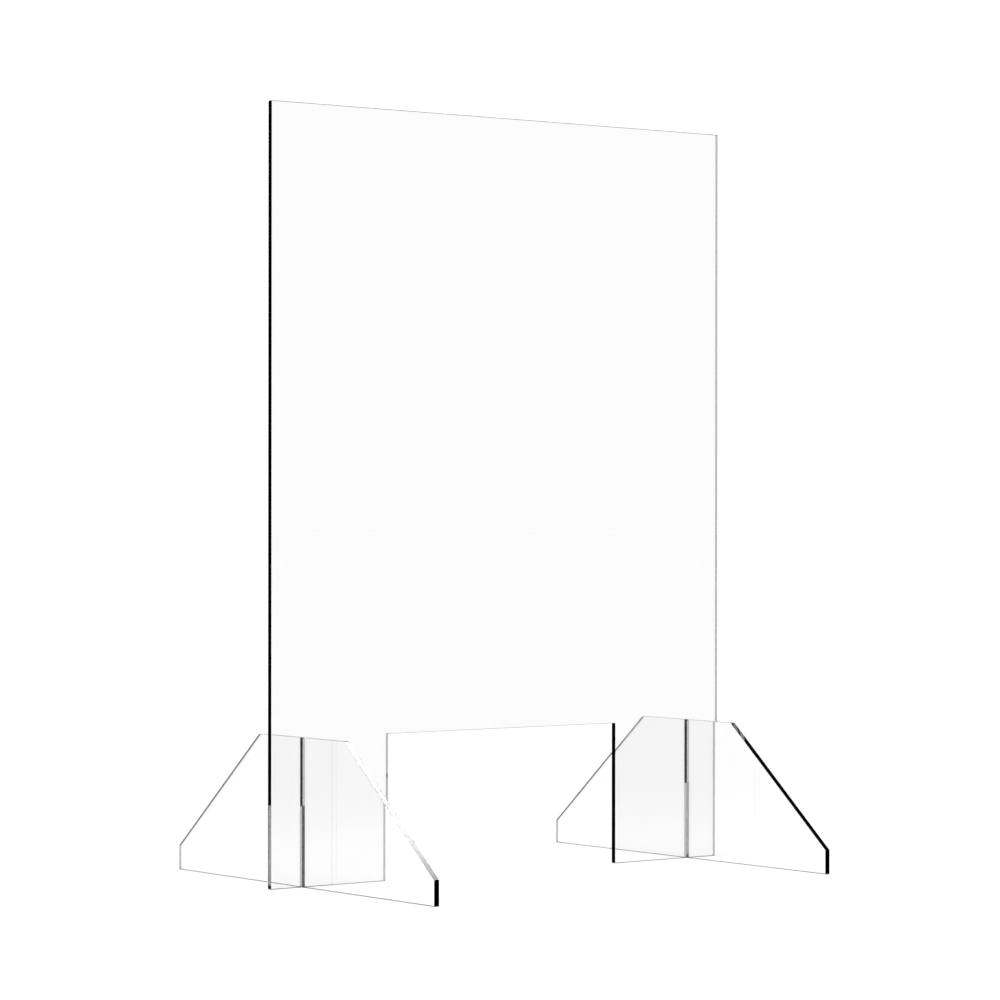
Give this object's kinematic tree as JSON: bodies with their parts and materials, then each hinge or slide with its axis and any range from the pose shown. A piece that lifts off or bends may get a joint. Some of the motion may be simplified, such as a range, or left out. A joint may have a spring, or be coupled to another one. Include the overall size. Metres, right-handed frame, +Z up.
{
  "type": "sneeze guard",
  "caption": "Free-standing clear acrylic counter shield: an upright panel with a low pass-through opening, slotted down over cross feet.",
  "frame": {"origin": "on the counter, midway between the two feet, in the middle of the panel's thickness", "axes": "+X along the panel, +Y from the panel's front face to its back along the feet, +Z up"},
  "size_m": [0.5968, 0.4572, 0.8001],
  "materials": {
    "clear_acrylic": "polished"
  },
  "bodies": {
    "left_foot": {"left_foot": "clear_acrylic"},
    "panel": {"panel": "clear_acrylic"},
    "right_foot": {"right_foot": "clear_acrylic"}
  },
  "joints": [
    {"name": "panel_lift", "type": "slide", "parent": "left_foot", "child": "panel", "axis": [0, 0, 1], "range_m": [0, 0.16]},
    {"name": "right_foot_slide", "type": "slide", "parent": "panel", "child": "right_foot", "axis": [0, 0, 1], "range_m": [-0.16, 0]}
  ],
  "couplings": [
    {"joint": "right_foot_slide", "follows": "panel_lift", "ratio": -1}
  ]
}
